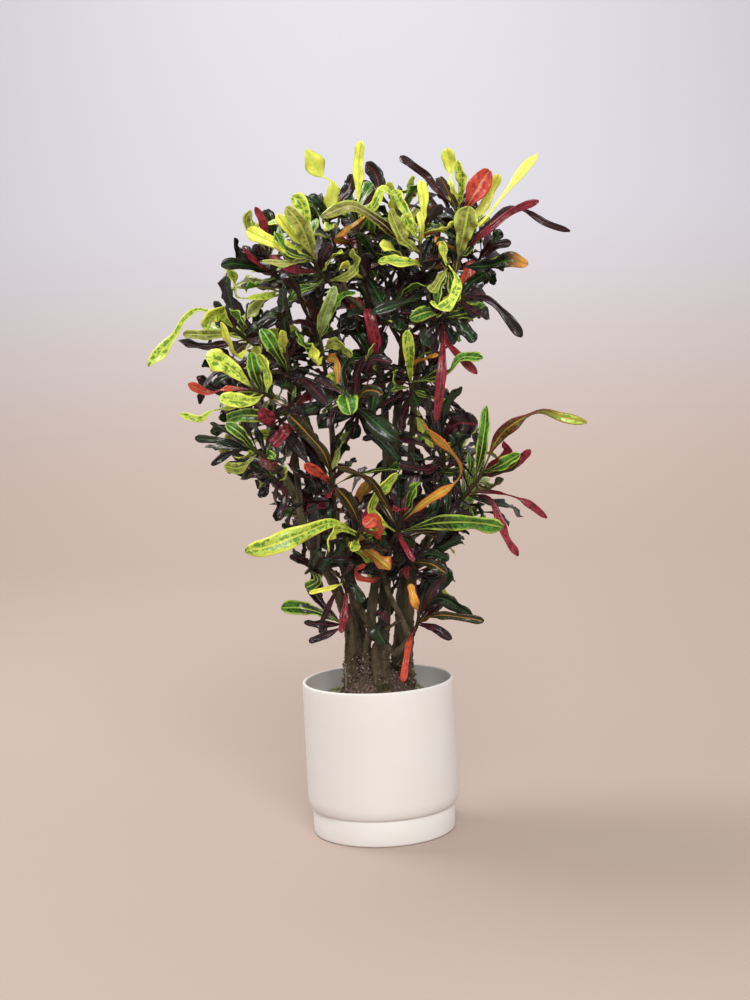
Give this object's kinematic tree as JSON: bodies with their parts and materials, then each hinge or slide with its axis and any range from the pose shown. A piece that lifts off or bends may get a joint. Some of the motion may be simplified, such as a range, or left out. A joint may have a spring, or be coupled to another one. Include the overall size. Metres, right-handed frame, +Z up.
{
  "type": "potted croton",
  "caption": "Bushy croton houseplant: forked woody stems with narrow, twisted, many-coloured leaves, growing in soil in a plain white cylindrical ceramic pot.",
  "frame": {"origin": "middle of the pot's foot, on the surface that it stands on", "axes": "+Z up along the pot's axis, -Y toward the viewer of the picture, +X to the viewer's right"},
  "size_m": [0.5192, 0.3874, 0.8531],
  "materials": {
    "ceramic": "matt white glazed ceramic",
    "soil": "rough potting soil with pale grit and moss",
    "bark": "grey-brown ridged bark",
    "leaf_lime": "waxy leaf, lime to yellow with green veins",
    "leaf_dark": "waxy leaf, near-black green",
    "leaf_maroon": "waxy leaf, maroon to crimson",
    "leaf_orange": "waxy leaf, orange-brown with a pale midrib"
  },
  "bodies": {
    "root": {"pot": "ceramic", "soil": "soil", "stem_left": "bark", "stem_front": "bark", "stem_stub": "bark", "stem_right": "bark", "stem_tall": "bark", "stem_back_left": "bark", "stem_back": "bark", "shoot_left": "leaf_dark", "shoot_left_rise": "leaf_lime", "shoot_left_mid": "leaf_orange", "shoot_left_low": "leaf_orange", "shoot_left_side": "leaf_lime", "shoot_left_inner": "leaf_orange", "shoot_left_foot": "leaf_dark", "shoot_left_knee": "leaf_dark", "shoot_front": "leaf_maroon", "shoot_front_side": "leaf_orange", "shoot_front_low": "leaf_lime", "shoot_centre": "leaf_orange", "shoot_centre_front": "leaf_orange", "shoot_centre_left": "leaf_dark", "shoot_centre_mid": "leaf_orange", "shoot_centre_high": "leaf_maroon", "shoot_top_left": "leaf_lime", "shoot_top_left_high": "leaf_lime", "shoot_stub_side": "leaf_orange", "shoot_stub_low": "leaf_dark", "shoot_right": "leaf_orange", "shoot_right_low": "leaf_orange", "shoot_right_face": "leaf_maroon", "shoot_right_mid": "leaf_dark", "shoot_right_back": "leaf_dark", "shoot_tall": "leaf_dark", "shoot_tall_top": "leaf_lime", "shoot_top_centre": "leaf_lime", "shoot_right_front": "leaf_lime", "shoot_right_drop": "leaf_maroon", "shoot_right_hang": "leaf_maroon", "shoot_right_edge": "leaf_maroon", "shoot_back_left": "leaf_lime", "shoot_back_left_top": "leaf_orange", "shoot_back_left_side": "leaf_dark", "shoot_back_left_high": "leaf_maroon", "shoot_back_left_low": "leaf_maroon", "shoot_back_left_out": "leaf_dark", "shoot_back": "leaf_dark", "shoot_back_right_high": "leaf_maroon", "shoot_back_right_mid": "leaf_dark", "shoot_back_left_mid": "leaf_orange", "shoot_back_low": "leaf_maroon", "shoot_back_right_low": "leaf_dark", "shoot_back_top": "leaf_lime", "shoot_back_top_right": "leaf_maroon", "shoot_back_foot": "leaf_orange", "shoot_back_centre": "leaf_dark", "shoot_back_mid": "leaf_dark"}
  },
  "joints": []
}
